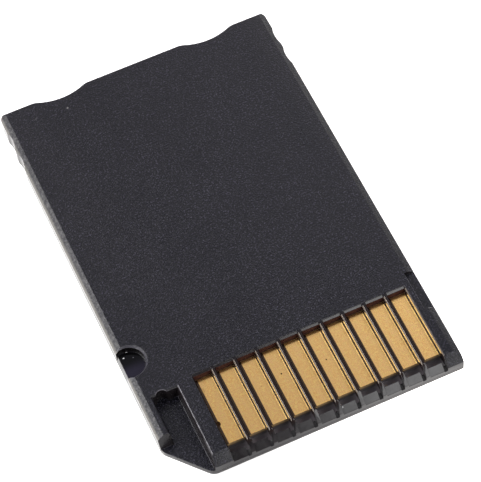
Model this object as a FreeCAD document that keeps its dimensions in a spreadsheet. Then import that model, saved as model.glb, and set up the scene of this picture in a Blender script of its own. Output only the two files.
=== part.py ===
import FreeCAD, Part
import math
import os
import Sketcher

# Memory card adapter: a slim two-shell card that takes a smaller card through its rear edge.
# Millimetres. X runs across the card, Y along it (contact windows at -Y, card slot at +Y) and
# Z up, with the label side down on Z = 0 and the contact side up.

doc = FreeCAD.newDocument("card_adapter")


# Driving dimensions

SIZES = [
    ("body_width", 20.0, "card, side to side"),
    ("body_length", 31.0, "card, contact end to slot end"),
    ("body_thickness", 1.6, "card, label face to contact face"),
    ("cover_thickness", 0.4, "label side cover, up to the seam"),
    ("corner_radius", 0.35, "rear corners, in plan"),
    ("cut_width", 2.4, "cut front left corner, across the card"),
    ("cut_length", 2.8, "cut front left corner, along the card"),
    ("cut_end_radius", 0.8, "ends of the cut corner, in plan"),
    ("base_edge_bevel", 0.12, "edge round the label face"),
    ("top_edge_bevel", 0.14, "edge round the contact face"),
    ("side_bevel_inset", 0.45, "bevel along each side, across the card"),
    ("side_bevel_drop", 0.28, "bevel along each side, down"),
    ("front_bevel_length", 0.72, "bevel over the contact end, along the card"),
    ("front_bevel_drop", 0.62, "bevel over the contact end, down"),
    ("thumb_spacing", 11.0, "between the two thumb scallops of the slot end"),
    ("thumb_radius", 4.1, "thumb scallop"),
    ("thumb_depth", 0.45, "thumb scallop"),
    ("thumb_shoulder_radius", 1.2, "blend at each end of a thumb scallop"),
    ("grip_setback", 2.2, "slot end to the first side grip"),
    ("grip_pitch", 1.85, "between the two grips of a side"),
    ("grip_radius", 2.0, "side grip scallop"),
    ("grip_depth", 0.14, "side grip scallop"),
    ("rim_width", 0.87, "rim outside the keyway"),
    ("rim_end_setback", 2.92, "contact end to the foot of the rim"),
    ("rim_end_slope", 0.35, "run of the sloped end of the rim"),
    ("keyway_width", 1.76, "keyway between its walls, at the top"),
    ("keyway_setback", 6.1, "contact end to the rear wall of the keyway"),
    ("keyway_floor", 0.55, "height of the keyway floor over the label face"),
    ("keyway_draft", 5.0, "degrees, walls of the keyway"),
    ("keyway_edge_bevel", 0.1, "edges of the keyway"),
    ("relief_radius", 0.42, "round relief in the rear wall of the keyway"),
    ("relief_inset", 0.62, "relief centre from the left wall of the keyway"),
    ("relief_offset", 0.2, "relief centre ahead of the rear wall of the keyway"),
    ("notch_radius", 1.1, "lock notch in the left side"),
    ("notch_inset", 0.52, "notch centre from the left side"),
    ("notch_setback", 9.15, "contact end to the notch centre"),
    ("notch_depth", 0.6, "lock notch, below the contact face"),
    ("notch_bevel", 0.15, "edge of the lock notch"),
    ("notch_lip_inset", 0.1, "sloped lip outside the notch floor, across the card"),
    ("notch_lip_drop", 0.55, "sloped lip outside the notch floor, down"),
    ("step_width", 0.68, "shallow step in the right side"),
    ("step_length", 3.02, "shallow step in the right side"),
    ("step_setback", 4.3, "contact end to the step"),
    ("step_depth", 0.3, "shallow step in the right side"),
    ("contact_count", 10, "contacts of the front edge"),
    ("left_land", 1.2, "keyway to the first contact window"),
    ("right_land", 1.15, "last contact window to the right side"),
    ("rib_width", 0.28, "rib between two contact windows"),
    ("window_setback", 6.33, "contact end to the rear wall of the windows"),
    ("window_bevel", 0.14, "rear edge of each window"),
    ("rib_bevel", 0.07, "side edges of each window"),
    ("front_bar_length", 0.47, "bar ahead of the windows, along the card"),
    ("ramp_drop", 0.21, "lead-in ramp, below the front bevel"),
    ("slit_width", 0.22, "slit beside each lead-in ramp"),
    ("slit_drop", 0.1, "slit floor, below the foot of the ramp"),
    ("contact_recess", 0.6, "contact face, below the contact side"),
    ("contact_thickness", 0.04, "plated contact"),
    ("contact_gap", 0.06, "contact to the window wall"),
    ("board_thickness", 0.3, "circuit board"),
    ("board_setback", 1.2, "contact end to the front edge of the board"),
    ("board_corner_radius", 0.4, "circuit board, in plan"),
    ("bay_margin", 0.55, "board bay past the outer windows, each side"),
    ("fit_clearance", 0.01, "board to the ribs over it"),
    ("side_clearance", 0.05, "board and cover plateau to the bay walls"),
    ("card_width", 11.0, "card that goes in"),
    ("card_clearance", 0.1, "card to the slot wall, each side"),
    ("slot_height", 0.8, "card slot"),
    ("slot_depth", 15.3, "card slot, rear edge to the stop"),
    ("mouth_bevel", 0.25, "lead-in over the slot mouth"),
    ("spring_count", 8, "springs over the card"),
    ("spring_pitch", 1.1, "between springs"),
    ("spring_width", 0.5, "spring strip"),
    ("spring_thickness", 0.08, "spring strip"),
    ("spring_tail_length", 1.9, "soldered tail on the board"),
    ("spring_rise", 0.13, "bow of the arm over the card's front edge"),
    ("spring_rise_length", 1.0, "board edge to the top of the bow"),
    ("spring_reach", 3.0, "board edge to the contact point"),
    ("spring_drop", 0.12, "contact point below the tail"),
    ("spring_tip_length", 0.6, "turned-up tip"),
    ("spring_tip_rise", 0.16, "turned-up tip"),
    ("spring_bend_radius", 0.2, "bends of the spring"),
    ("spring_bay_length", 2.3, "room for the tails, ahead of the stop"),
    ("carrier_length", 1.1, "spring carrier, along the card"),
    ("carrier_height", 0.22, "spring carrier"),
    ("carrier_setback", 0.25, "carrier to the rear edge of the board"),
    ("groove_clearance", 0.04, "carrier groove round a spring tail, each side"),
    ("component_bay_wall", 0.8, "wall between the windows and the component bay"),
    ("component_bay_roof", 0.3, "wall over the component bay"),
    ("component_bay_margin", 0.6, "board edge strip left under the shell"),
    ("bay_web", 0.45, "web between the component bay and the spring bay"),
    ("chip_width", 4.0, "bridge chip, across the card"),
    ("chip_share", 0.53, "bridge chip's length, as a part of the component bay's"),
    ("chip_height", 0.28, "bridge chip"),
    ("chip_edge_bevel", 0.06, "bridge chip"),
    ("passive_length", 1.0, "small component, along the card"),
    ("passive_width", 0.5, "small component, across the card"),
    ("passive_height", 0.26, "small component"),
    ("passive_waist", 0.03, "body of a small component below its end caps"),
    ("passive_cap_length", 0.22, "end cap of a small component"),
    ("passive_pitch", 1.1, "between small components"),
    ("passive_inset", 1.2, "side wall of the component bay to the nearest small component"),
    ("tongue_width", 0.8, "locating tongue of the cover, across the card"),
    ("tongue_length", 9.0, "locating tongue of the cover, along the card"),
    ("tongue_height", 0.5, "locating tongue of the cover"),
    ("tongue_inset", 2.0, "side of the card to the tongue"),
    ("tongue_setback", 4.0, "slot end to the tongue"),
    ("tongue_clearance", 0.04, "tongue to its groove, round and above"),
    ("label_side_margin", 1.5, "label recess to each side"),
    ("label_rear_margin", 2.0, "label recess to the slot end"),
    ("label_front_margin", 3.7, "label recess to the contact end"),
    ("label_depth", 0.1, "label recess"),
    ("label_radius", 0.8, "corners of the label recess"),
    ("cut_margin", 0.5, "how far a cut runs out past the material"),
]

# Places that follow from the driving dimensions

PLACES = [
    ("left_side", "-sizes.body_width / 2"),
    ("right_side", "sizes.body_width / 2"),
    ("front_end", "-sizes.body_length / 2"),
    ("rear_end", "sizes.body_length / 2"),
    ("contact_side", "sizes.body_thickness"),
    ("keyway_left", "left_side + sizes.rim_width"),
    ("keyway_right", "keyway_left + sizes.keyway_width"),
    ("keyway_rear", "front_end + sizes.keyway_setback"),
    ("windows_left", "keyway_right + sizes.left_land"),
    ("windows_right", "right_side - sizes.right_land"),
    ("windows_span", "windows_right - windows_left"),
    ("window_width", "(windows_span - (sizes.contact_count - 1) * sizes.rib_width) / sizes.contact_count"),
    ("window_pitch", "window_width + sizes.rib_width"),
    ("window_rear", "front_end + sizes.window_setback"),
    ("bar_rear", "front_end + sizes.front_bar_length"),
    ("ramp_width", "window_width - sizes.slit_width"),
    ("front_slope", "sizes.front_bevel_drop / sizes.front_bevel_length"),
    ("ramp_foot", "contact_side - sizes.front_bevel_drop - sizes.ramp_drop"),
    ("contact_face", "contact_side - sizes.contact_recess"),
    ("board_top", "contact_face - sizes.contact_thickness"),
    ("board_bottom", "board_top - sizes.board_thickness"),
    ("bay_left", "windows_left - sizes.bay_margin"),
    ("bay_right", "windows_right + sizes.bay_margin"),
    ("bay_roof", "board_top + sizes.fit_clearance"),
    ("card_stop", "rear_end - sizes.slot_depth"),
    ("board_left", "bay_left + sizes.side_clearance"),
    ("board_right", "bay_right - sizes.side_clearance"),
    ("board_front", "front_end + sizes.board_setback"),
    ("board_rear", "card_stop - sizes.side_clearance"),
    ("slot_half", "sizes.card_width / 2 + sizes.card_clearance"),
    ("slot_roof", "sizes.cover_thickness + sizes.slot_height"),
    ("spring_bay_front", "card_stop - sizes.spring_bay_length"),
    ("component_bay_front", "window_rear + sizes.component_bay_wall"),
    ("component_bay_rear", "spring_bay_front - sizes.bay_web"),
    ("component_bay_left", "bay_left + sizes.component_bay_margin"),
    ("component_bay_right", "bay_right - sizes.component_bay_margin"),
    ("component_middle", "(component_bay_front + component_bay_rear) / 2"),
    ("chip_middle", "(component_bay_left + component_bay_right) / 2"),
    ("chip_length", "(component_bay_rear - component_bay_front) * sizes.chip_share"),
    ("carrier_rear", "board_rear - sizes.carrier_setback"),
    ("tongue_outer", "right_side - sizes.tongue_inset"),
    ("tongue_rear", "rear_end - sizes.tongue_setback"),
]

sheet = doc.addObject("Spreadsheet::Sheet", "sizes")
for row, (name, size, meaning) in enumerate(SIZES, start=1):
    sheet.set(f"A{row}", name)
    sheet.set(f"B{row}", str(size))
    sheet.setAlias(f"B{row}", name)
    sheet.set(f"C{row}", meaning)

places = doc.addObject("Spreadsheet::Sheet", "places")
for row, (name, formula) in enumerate(PLACES, start=1):
    places.set(f"A{row}", name)
    places.set(f"B{row}", "=" + formula)
    places.setAlias(f"B{row}", name)
doc.recompute()


def value(formula):
    """The present number of a formula in the two sheets."""
    return float(sheet.evalExpression(formula))


# Sketches and features

def origin_feature(body, role):
    return next(feature for feature in body.Origin.OriginFeatures if feature.Role == role)


def new_sketch(body, name, plane="XY_Plane", offset=None):
    """A sketch on one of the body's own planes, moved along that plane's normal by a formula."""
    sketch = body.newObject("Sketcher::SketchObject", name)
    sketch.AttachmentSupport = [(origin_feature(body, plane), "")]
    sketch.MapMode = "FlatFace"
    if offset:
        sketch.setExpression("AttachmentOffset.Base.z", offset)
    return sketch


def bind(sketch, kind, geometry, point, formula, name):
    """Ties one coordinate of a sketch point to a formula."""
    index = sketch.addConstraint(Sketcher.Constraint(kind, -1, 1, geometry, point, value(formula)))
    sketch.renameConstraint(index, name)
    sketch.setExpression(f"Constraints.{name}", formula)


def add_polygon(sketch, corners):
    """A closed outline whose corners are pairs of formulas."""
    points = [FreeCAD.Vector(value(across), value(along), 0) for across, along in corners]
    first = sketch.GeometryCount
    last = first + len(points) - 1
    for start, end in zip(points, points[1:] + points[:1]):
        sketch.addGeometry(Part.LineSegment(start, end))
    for line in range(first, last + 1):
        following = line + 1 if line < last else first
        sketch.addConstraint(Sketcher.Constraint("Coincident", line, 2, following, 1))
    for line, (across, along) in zip(range(first, last + 1), corners):
        bind(sketch, "DistanceX", line, 1, across, f"across_{line}")
        bind(sketch, "DistanceY", line, 1, along, f"along_{line}")


def add_rectangle(sketch, left, right, front, rear):
    add_polygon(sketch, [(left, front), (right, front), (right, rear), (left, rear)])


def add_circle(sketch, across, along, radius):
    """A circle whose centre and radius are formulas."""
    centre = FreeCAD.Vector(value(across), value(along), 0)
    circle = sketch.addGeometry(Part.Circle(centre, FreeCAD.Vector(0, 0, 1), value(radius)))
    bind(sketch, "DistanceX", circle, 3, across, f"across_{circle}")
    bind(sketch, "DistanceY", circle, 3, along, f"along_{circle}")
    index = sketch.addConstraint(Sketcher.Constraint("Radius", circle, value(radius)))
    sketch.renameConstraint(index, f"radius_{circle}")
    sketch.setExpression(f"Constraints.radius_{circle}", radius)


def pad(body, sketch, length, symmetric=False):
    feature = body.newObject("PartDesign::Pad", sketch.Name + "_pad")
    feature.Profile = sketch
    feature.setExpression("Length", length)
    if symmetric:
        feature.SideType = "Symmetric"
    sketch.Visibility = False
    doc.recompute()
    return feature


def pocket(body, sketch, length=None, along_normal=False, symmetric=False, taper=None):
    """Cuts the sketch out of the body, against the sketch's normal unless along_normal is set."""
    before = body.Shape.Volume
    feature = body.newObject("PartDesign::Pocket", sketch.Name + "_pocket")
    feature.Profile = sketch
    feature.Reversed = along_normal
    if symmetric:
        feature.SideType = "Symmetric"
    if length:
        feature.setExpression("Length", length)
    else:
        feature.Type = "ThroughAll"
    if taper:
        feature.setExpression("TaperAngle", taper)
    sketch.Visibility = False
    doc.recompute()
    if body.Shape.Volume >= before:
        raise RuntimeError(feature.Name + " cuts nothing")
    return feature


def pattern(body, name, originals, count, pitch):
    """Repeats features along X."""
    feature = body.newObject("PartDesign::LinearPattern", name)
    feature.Originals = originals
    feature.Direction = (origin_feature(body, "X_Axis"), [""])
    feature.setExpression("Length", f"({count} - 1) * {pitch}")
    feature.setExpression("Occurrences", count)
    body.Tip = feature
    doc.recompute()
    return feature


def edge_names(shape, wanted):
    return [f"Edge{number}" for number, edge in enumerate(shape.Edges, start=1) if wanted(edge)]


def upright_at(edge, test):
    """True for an upright edge whose place in plan passes the test."""
    first, last = edge.Vertexes[0].Point, edge.Vertexes[-1].Point
    upright = math.hypot(first.x - last.x, first.y - last.y) < 1e-6 and abs(first.z - last.z) > 1e-6
    return upright and test(first.x, first.y)


def round_edges(body, name, radius, wanted):
    """Rounds the edges of the body's tip that pass the test."""
    base = body.Tip
    feature = body.newObject("PartDesign::Fillet", name)
    feature.Base = (base, edge_names(base.Shape, wanted))
    feature.setExpression("Radius", radius)
    doc.recompute()
    return feature


def bevel_edges(body, name, size, wanted):
    """Bevels the edges of the body's tip that pass the test, evenly."""
    base = body.Tip
    feature = body.newObject("PartDesign::Chamfer", name)
    feature.Base = (base, edge_names(base.Shape, wanted))
    feature.setExpression("Size", size)
    doc.recompute()
    return feature


def near(first, second, reach=1e-4):
    return abs(first - second) < reach


# Outline that both shells share

def card_outline(body, prefix, bottom, thickness):
    """The card in plan: cut corner, rounded rear corners, sharp front right corner and thumb scallops."""
    outline = new_sketch(body, prefix + "_outline", offset=bottom)
    cut_left = "places.front_end + sizes.cut_length"
    cut_front = "places.left_side + sizes.cut_width"
    add_polygon(outline, [
        ("places.left_side", "places.rear_end"),
        ("places.left_side", cut_left),
        (cut_front, "places.front_end"),
        ("places.right_side", "places.front_end"),
        ("places.right_side", "places.rear_end"),
    ])
    pad(body, outline, thickness)

    left, right = value("places.left_side"), value("places.right_side")
    front, rear = value("places.front_end"), value("places.rear_end")
    cut_ends = [(left, value(cut_left)), (value(cut_front), front)]

    def is_cut_end(x, y):
        return any(near(x, cut_x) and near(y, cut_y) for cut_x, cut_y in cut_ends)

    def is_rear_corner(x, y):
        return near(y, rear)

    round_edges(body, prefix + "_rear_corners", "sizes.corner_radius",
                lambda edge: upright_at(edge, is_rear_corner))
    round_edges(body, prefix + "_cut_ends", "sizes.cut_end_radius", lambda edge: upright_at(edge, is_cut_end))

    thumbs = new_sketch(body, prefix + "_thumbs", offset=bottom)
    for side in ("-", ""):
        add_circle(thumbs, f"{side}sizes.thumb_spacing / 2",
                   "places.rear_end + sizes.thumb_radius - sizes.thumb_depth", "sizes.thumb_radius")
    pocket(body, thumbs, along_normal=True)

    def is_shoulder(x, y):
        return near(y, rear) and abs(x) < right - value("sizes.corner_radius") - 1e-4

    round_edges(body, prefix + "_shoulders", "sizes.thumb_shoulder_radius",
                lambda edge: upright_at(edge, is_shoulder))


def bevel_rim(body, name, size, height):
    """A fine bevel round the whole card, on the edges at one height."""
    level = value(height)
    bevel_edges(body, name, size, lambda edge: all(near(vertex.Z, level) for vertex in edge.Vertexes))


def cut_grips(body, prefix, bottom):
    """Two shallow scallops in each side, near the slot end."""
    grips = new_sketch(body, prefix + "_grips", offset=bottom)
    reach = "(places.right_side + sizes.grip_radius - sizes.grip_depth)"
    for side in ("-", ""):
        for place in range(2):
            add_circle(grips, f"{side}{reach}",
                       f"places.rear_end - sizes.grip_setback - {place} * sizes.grip_pitch",
                       "sizes.grip_radius")
    pocket(body, grips, along_normal=True)


# Contact side shell

def contact_side_shell():
    body = doc.addObject("PartDesign::Body", "contact_side_shell")
    top = "places.contact_side"
    card_outline(body, "shell", "sizes.cover_thickness", "sizes.body_thickness - sizes.cover_thickness")
    bevel_rim(body, "shell_rim", "sizes.top_edge_bevel", top)
    cut_grips(body, "shell", "sizes.cover_thickness")
    bevel_card(body, top)
    cut_keyway(body, top)
    cut_notch(body, top)
    step = new_sketch(body, "step", offset=top)
    step_front = "places.front_end + sizes.step_setback"
    add_rectangle(step, "places.right_side - sizes.step_width", "places.right_side + sizes.cut_margin",
                  step_front, step_front + " + sizes.step_length")
    pocket(body, step, "sizes.step_depth")
    cut_windows(body, top)
    cut_inside(body)
    return body


def bevel_card(body, top):
    """Bevels along both sides, on XZ, and over the contact end, on YZ."""
    sides = new_sketch(body, "side_bevels", "XZ_Plane")
    for sign in ("-", ""):
        add_polygon(sides, [
            (f"{sign}(places.right_side - sizes.side_bevel_inset)", top),
            (f"{sign}places.right_side", f"{top} - sizes.side_bevel_drop"),
            (f"{sign}(places.right_side + sizes.cut_margin)", f"{top} - sizes.side_bevel_drop"),
            (f"{sign}(places.right_side + sizes.cut_margin)", f"{top} + sizes.cut_margin"),
            (f"{sign}(places.right_side - sizes.side_bevel_inset)", f"{top} + sizes.cut_margin"),
        ])
    pocket(body, sides, "2 * sizes.body_length", symmetric=True)

    front = new_sketch(body, "front_bevel", "YZ_Plane")
    add_polygon(front, [
        ("places.front_end + sizes.front_bevel_length", top),
        ("places.front_end", f"{top} - sizes.front_bevel_drop"),
        ("places.front_end - sizes.cut_margin", f"{top} - sizes.front_bevel_drop"),
        ("places.front_end - sizes.cut_margin", f"{top} + sizes.cut_margin"),
        ("places.front_end + sizes.front_bevel_length", f"{top} + sizes.cut_margin"),
    ])
    pocket(body, front, "2 * sizes.body_width", symmetric=True)


def cut_keyway(body, top):
    """The open corner recess, with bevelled edges, its rim, the rim's sloped end and the round relief."""
    depth = "places.contact_side - sizes.keyway_floor"
    rim_foot = "places.front_end + sizes.rim_end_setback"
    keyway = new_sketch(body, "keyway", offset=top)
    add_polygon(keyway, [
        ("places.keyway_right", "places.keyway_rear"),
        ("places.keyway_left", "places.keyway_rear"),
        ("places.keyway_left", rim_foot),
        ("places.left_side - sizes.cut_margin", rim_foot),
        ("places.left_side - sizes.cut_margin", "places.front_end - sizes.cut_margin"),
        ("places.keyway_right", "places.front_end - sizes.cut_margin"),
    ])
    pocket(body, keyway, depth, taper="-sizes.keyway_draft")

    bevel = "sizes.keyway_edge_bevel"
    edge = new_sketch(body, "keyway_edge", offset=top)
    add_polygon(edge, [
        (f"places.keyway_right + {bevel}", f"places.keyway_rear + {bevel}"),
        (f"places.keyway_left - {bevel}", f"places.keyway_rear + {bevel}"),
        (f"places.keyway_left - {bevel}", "places.front_end - sizes.cut_margin"),
        (f"places.keyway_right + {bevel}", "places.front_end - sizes.cut_margin"),
    ])
    pocket(body, edge, f"2 * {bevel}", taper="-45")

    rim_end = new_sketch(body, "rim_end", "YZ_Plane", offset="places.left_side - sizes.cut_margin")
    add_polygon(rim_end, [
        (f"{rim_foot} + sizes.rim_end_slope", top),
        (rim_foot, "sizes.keyway_floor"),
        (f"{rim_foot} - sizes.cut_margin", "sizes.keyway_floor"),
        (f"{rim_foot} - sizes.cut_margin", f"{top} + sizes.cut_margin"),
        (f"{rim_foot} + sizes.rim_end_slope", f"{top} + sizes.cut_margin"),
    ])
    pocket(body, rim_end, "sizes.rim_width + sizes.cut_margin", along_normal=True)

    relief = new_sketch(body, "relief", offset=top)
    add_circle(relief, "places.keyway_left + sizes.relief_inset",
               "places.keyway_rear - sizes.relief_offset", "sizes.relief_radius")
    pocket(body, relief, depth)


def cut_notch(body, top):
    """The lock notch, with a bevelled edge and a sloped lip outside its floor."""
    centre_x = "places.left_side + sizes.notch_inset"
    centre_y = "places.front_end + sizes.notch_setback"
    notch = new_sketch(body, "notch", offset=top)
    add_circle(notch, centre_x, centre_y, "sizes.notch_radius")
    pocket(body, notch, "sizes.notch_depth")

    edge = new_sketch(body, "notch_edge", offset=top)
    add_circle(edge, centre_x, centre_y, "sizes.notch_radius + sizes.notch_bevel")
    pocket(body, edge, "sizes.notch_bevel", taper="-45")

    floor = "(places.contact_side - sizes.notch_depth)"
    lip = new_sketch(body, "notch_lip", "XZ_Plane", offset=f"-({centre_y})")
    add_polygon(lip, [
        ("places.left_side + sizes.notch_lip_inset", floor),
        ("places.left_side", f"{floor} - sizes.notch_lip_drop"),
        ("places.left_side - sizes.cut_margin", f"{floor} - sizes.notch_lip_drop"),
        ("places.left_side - sizes.cut_margin", floor),
    ])
    pocket(body, lip, "2 * sqrt(sizes.notch_radius ^ 2 - sizes.notch_inset ^ 2)", symmetric=True)


def cut_windows(body, top):
    """One contact window with its bevel, lead-in ramp and slit, repeated across the front edge."""
    window = new_sketch(body, "window", offset=top)
    add_rectangle(window, "places.windows_left", "places.windows_left + places.window_width",
                  "places.bar_rear", "places.window_rear")
    window_cut = pocket(body, window)

    edge = new_sketch(body, "window_edge", "YZ_Plane", offset="places.windows_left")
    add_polygon(edge, [
        ("places.window_rear + sizes.window_bevel", top),
        ("places.window_rear", f"{top} - sizes.window_bevel"),
        ("places.window_rear - sizes.cut_margin", f"{top} - sizes.window_bevel"),
        ("places.window_rear - sizes.cut_margin", f"{top} + sizes.cut_margin"),
        ("places.window_rear + sizes.window_bevel", f"{top} + sizes.cut_margin"),
    ])
    edge_cut = pocket(body, edge, "places.window_width", along_normal=True)

    def side_bevel(name, wall, outward, inward):
        """A bevel along one side of the window, from the front bar to the rear wall."""
        sketch = new_sketch(body, name, "XZ_Plane", offset="-places.bar_rear")
        add_polygon(sketch, [
            (f"{wall} {outward} sizes.rib_bevel", top),
            (wall, f"{top} - sizes.rib_bevel"),
            (f"{wall} {inward} sizes.rib_bevel", f"{top} - sizes.rib_bevel"),
            (f"{wall} {inward} sizes.rib_bevel", f"{top} + sizes.cut_margin"),
            (f"{wall} {outward} sizes.rib_bevel", f"{top} + sizes.cut_margin"),
        ])
        return pocket(body, sketch, "places.window_rear - places.bar_rear")

    left_cut = side_bevel("window_left_edge", "places.windows_left", "-", "+")
    right_cut = side_bevel("window_right_edge", "places.windows_left + places.window_width", "+", "-")

    ahead, behind = "places.front_end - sizes.cut_margin", "places.bar_rear + sizes.cut_margin"
    above = f"{top} + sizes.cut_margin"
    ramp = new_sketch(body, "ramp", "YZ_Plane", offset="places.windows_left")
    add_polygon(ramp, [
        (ahead, "places.ramp_foot - sizes.cut_margin * places.front_slope"),
        (behind, "places.ramp_foot + (sizes.front_bar_length + sizes.cut_margin) * places.front_slope"),
        (behind, above),
        (ahead, above),
    ])
    ramp_cut = pocket(body, ramp, "places.ramp_width", along_normal=True)

    slit = new_sketch(body, "slit", "YZ_Plane", offset="places.windows_left + places.ramp_width")
    add_rectangle(slit, ahead, behind, "places.ramp_foot - sizes.slit_drop", above)
    slit_cut = pocket(body, slit, "sizes.slit_width", along_normal=True)
    pattern(body, "window_row", [window_cut, edge_cut, left_cut, right_cut, ramp_cut, slit_cut],
            "sizes.contact_count", "places.window_pitch")


def cut_inside(body):
    """Board bay, component bay, card slot and tongue grooves, all open to the cover."""
    seam = "sizes.cover_thickness"
    bay = new_sketch(body, "board_bay", offset=seam)
    add_rectangle(bay, "places.bay_left", "places.bay_right", "places.bar_rear", "places.card_stop")
    pocket(body, bay, "places.bay_roof - sizes.cover_thickness", along_normal=True)

    components = new_sketch(body, "component_bay", offset=seam)
    add_rectangle(components, "places.component_bay_left", "places.component_bay_right",
                  "places.component_bay_front", "places.component_bay_rear")
    pocket(body, components, "places.contact_side - sizes.component_bay_roof - sizes.cover_thickness",
           along_normal=True)

    slot = new_sketch(body, "card_slot", offset=seam)
    add_rectangle(slot, "-places.slot_half", "places.slot_half",
                  "places.spring_bay_front", "places.rear_end + sizes.cut_margin")
    pocket(body, slot, "sizes.slot_height", along_normal=True)

    mouth = new_sketch(body, "slot_mouth", "YZ_Plane")
    add_polygon(mouth, [
        ("places.rear_end - sizes.thumb_depth - sizes.mouth_bevel", "places.slot_roof"),
        ("places.rear_end - sizes.thumb_depth", "places.slot_roof + sizes.mouth_bevel / 2"),
        ("places.rear_end + sizes.cut_margin", "places.slot_roof + sizes.mouth_bevel / 2"),
        ("places.rear_end + sizes.cut_margin", "places.slot_roof - sizes.mouth_bevel"),
        ("places.rear_end - sizes.thumb_depth - sizes.mouth_bevel", "places.slot_roof - sizes.mouth_bevel"),
    ])
    pocket(body, mouth, "2 * places.slot_half", symmetric=True)

    grooves = new_sketch(body, "tongue_grooves", offset=seam)
    add_tongue_outlines(grooves, "sizes.tongue_clearance")
    pocket(body, grooves, "sizes.tongue_height + sizes.tongue_clearance", along_normal=True)


def add_tongue_outlines(sketch, clearance):
    """The two locating tongues in plan, or their grooves."""
    for side in ("-", ""):
        add_rectangle(sketch, f"{side}(places.tongue_outer + {clearance})",
                      f"{side}(places.tongue_outer - sizes.tongue_width - {clearance})",
                      f"places.tongue_rear - sizes.tongue_length - {clearance}",
                      f"places.tongue_rear + {clearance}")


# Label side cover

def label_side_cover():
    body = doc.addObject("PartDesign::Body", "label_side_cover")
    card_outline(body, "cover", None, "sizes.cover_thickness")
    bevel_rim(body, "cover_rim", "sizes.base_edge_bevel", "0")
    cut_grips(body, "cover", None)

    recess = new_sketch(body, "label_recess")
    add_rectangle(recess, "places.left_side + sizes.label_side_margin",
                  "places.right_side - sizes.label_side_margin",
                  "places.front_end + sizes.label_front_margin", "places.rear_end - sizes.label_rear_margin")
    pocket(body, recess, "sizes.label_depth", along_normal=True)
    inside = value("places.right_side - sizes.label_side_margin")
    round_edges(body, "label_recess_corners", "sizes.label_radius",
                lambda edge: upright_at(edge, lambda x, y: near(abs(x), inside)))

    plateau = new_sketch(body, "board_plateau", offset="sizes.cover_thickness")
    add_rectangle(plateau, "places.board_left", "places.board_right",
                  "places.board_front", "places.board_rear")
    pad(body, plateau, "places.board_bottom - sizes.cover_thickness")

    tongues = new_sketch(body, "locating_tongues", offset="sizes.cover_thickness")
    add_tongue_outlines(tongues, "0")
    pad(body, tongues, "sizes.tongue_height")
    return body


# Circuit board and what is on it

def circuit_board():
    body = doc.addObject("PartDesign::Body", "circuit_board")
    outline = new_sketch(body, "board_outline", offset="places.board_bottom")
    add_rectangle(outline, "places.board_left", "places.board_right",
                  "places.board_front", "places.board_rear")
    pad(body, outline, "sizes.board_thickness")
    round_edges(body, "board_corners", "sizes.board_corner_radius",
                lambda edge: upright_at(edge, lambda x, y: True))
    return body


def host_contact(number):
    """One plated contact, lying on the board in its window."""
    plate = doc.addObject("Part::Box", f"host_contact_{number:02d}")
    plate.setExpression("Length", "places.window_width - 2 * sizes.contact_gap")
    plate.setExpression("Width", "places.window_rear - sizes.contact_gap - places.board_front")
    plate.setExpression("Height", "sizes.contact_thickness")
    plate.setExpression("Placement.Base.x",
                        f"places.windows_left + sizes.contact_gap + {number - 1} * places.window_pitch")
    plate.setExpression("Placement.Base.y", "places.board_front")
    plate.setExpression("Placement.Base.z", "places.board_top")
    return plate


def card_spring(number):
    """One strip spring: soldered tail, bow over the card's front edge, contact point, turned-up tip."""
    body = doc.addObject("PartDesign::Body", f"card_spring_{number}")
    under_side = [
        ("places.board_rear - sizes.spring_tail_length", "places.board_top"),
        ("places.board_rear", "places.board_top"),
        ("places.board_rear + sizes.spring_rise_length", "places.board_top + sizes.spring_rise"),
        ("places.board_rear + sizes.spring_reach", "places.board_top - sizes.spring_drop"),
        ("places.board_rear + sizes.spring_reach + sizes.spring_tip_length",
         "places.board_top - sizes.spring_drop + sizes.spring_tip_rise"),
    ]
    top_side = [(along, f"{height} + sizes.spring_thickness") for along, height in reversed(under_side)]
    strip = new_sketch(body, f"spring_{number}_strip", "YZ_Plane")
    add_polygon(strip, under_side + top_side)
    pad(body, strip, "sizes.spring_width", symmetric=True)

    ends = (value(under_side[0][0]), value(under_side[-1][0]))

    def is_bend(edge):
        first, last = edge.Vertexes[0].Point, edge.Vertexes[-1].Point
        across = near(first.y, last.y) and near(first.z, last.z)
        return across and not any(near(first.y, end) for end in ends)

    round_edges(body, f"spring_{number}_bends", "sizes.spring_bend_radius", is_bend)
    body.setExpression("Placement.Base.x",
                       f"({number - 1} - (sizes.spring_count - 1) / 2) * sizes.spring_pitch")
    return body


def spring_carrier():
    """Moulded bar that holds the spring tails down on the board."""
    body = doc.addObject("PartDesign::Body", "spring_carrier")
    bar = new_sketch(body, "carrier_bar", offset="places.board_top")
    add_rectangle(bar, "-sizes.card_width / 2", "sizes.card_width / 2",
                  "places.carrier_rear - sizes.carrier_length", "places.carrier_rear")
    pad(body, bar, "sizes.carrier_height")

    groove = new_sketch(body, "carrier_groove", offset="places.board_top")
    middle = "(sizes.spring_count - 1) / 2 * sizes.spring_pitch"
    half = "(sizes.spring_width / 2 + sizes.groove_clearance)"
    add_rectangle(groove, f"-{middle} - {half}", f"-{middle} + {half}",
                  "places.carrier_rear - sizes.carrier_length - sizes.cut_margin",
                  "places.carrier_rear + sizes.cut_margin")
    groove_cut = pocket(body, groove, "sizes.spring_thickness", along_normal=True)
    pattern(body, "carrier_grooves", [groove_cut], "sizes.spring_count", "sizes.spring_pitch")
    return body


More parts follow.
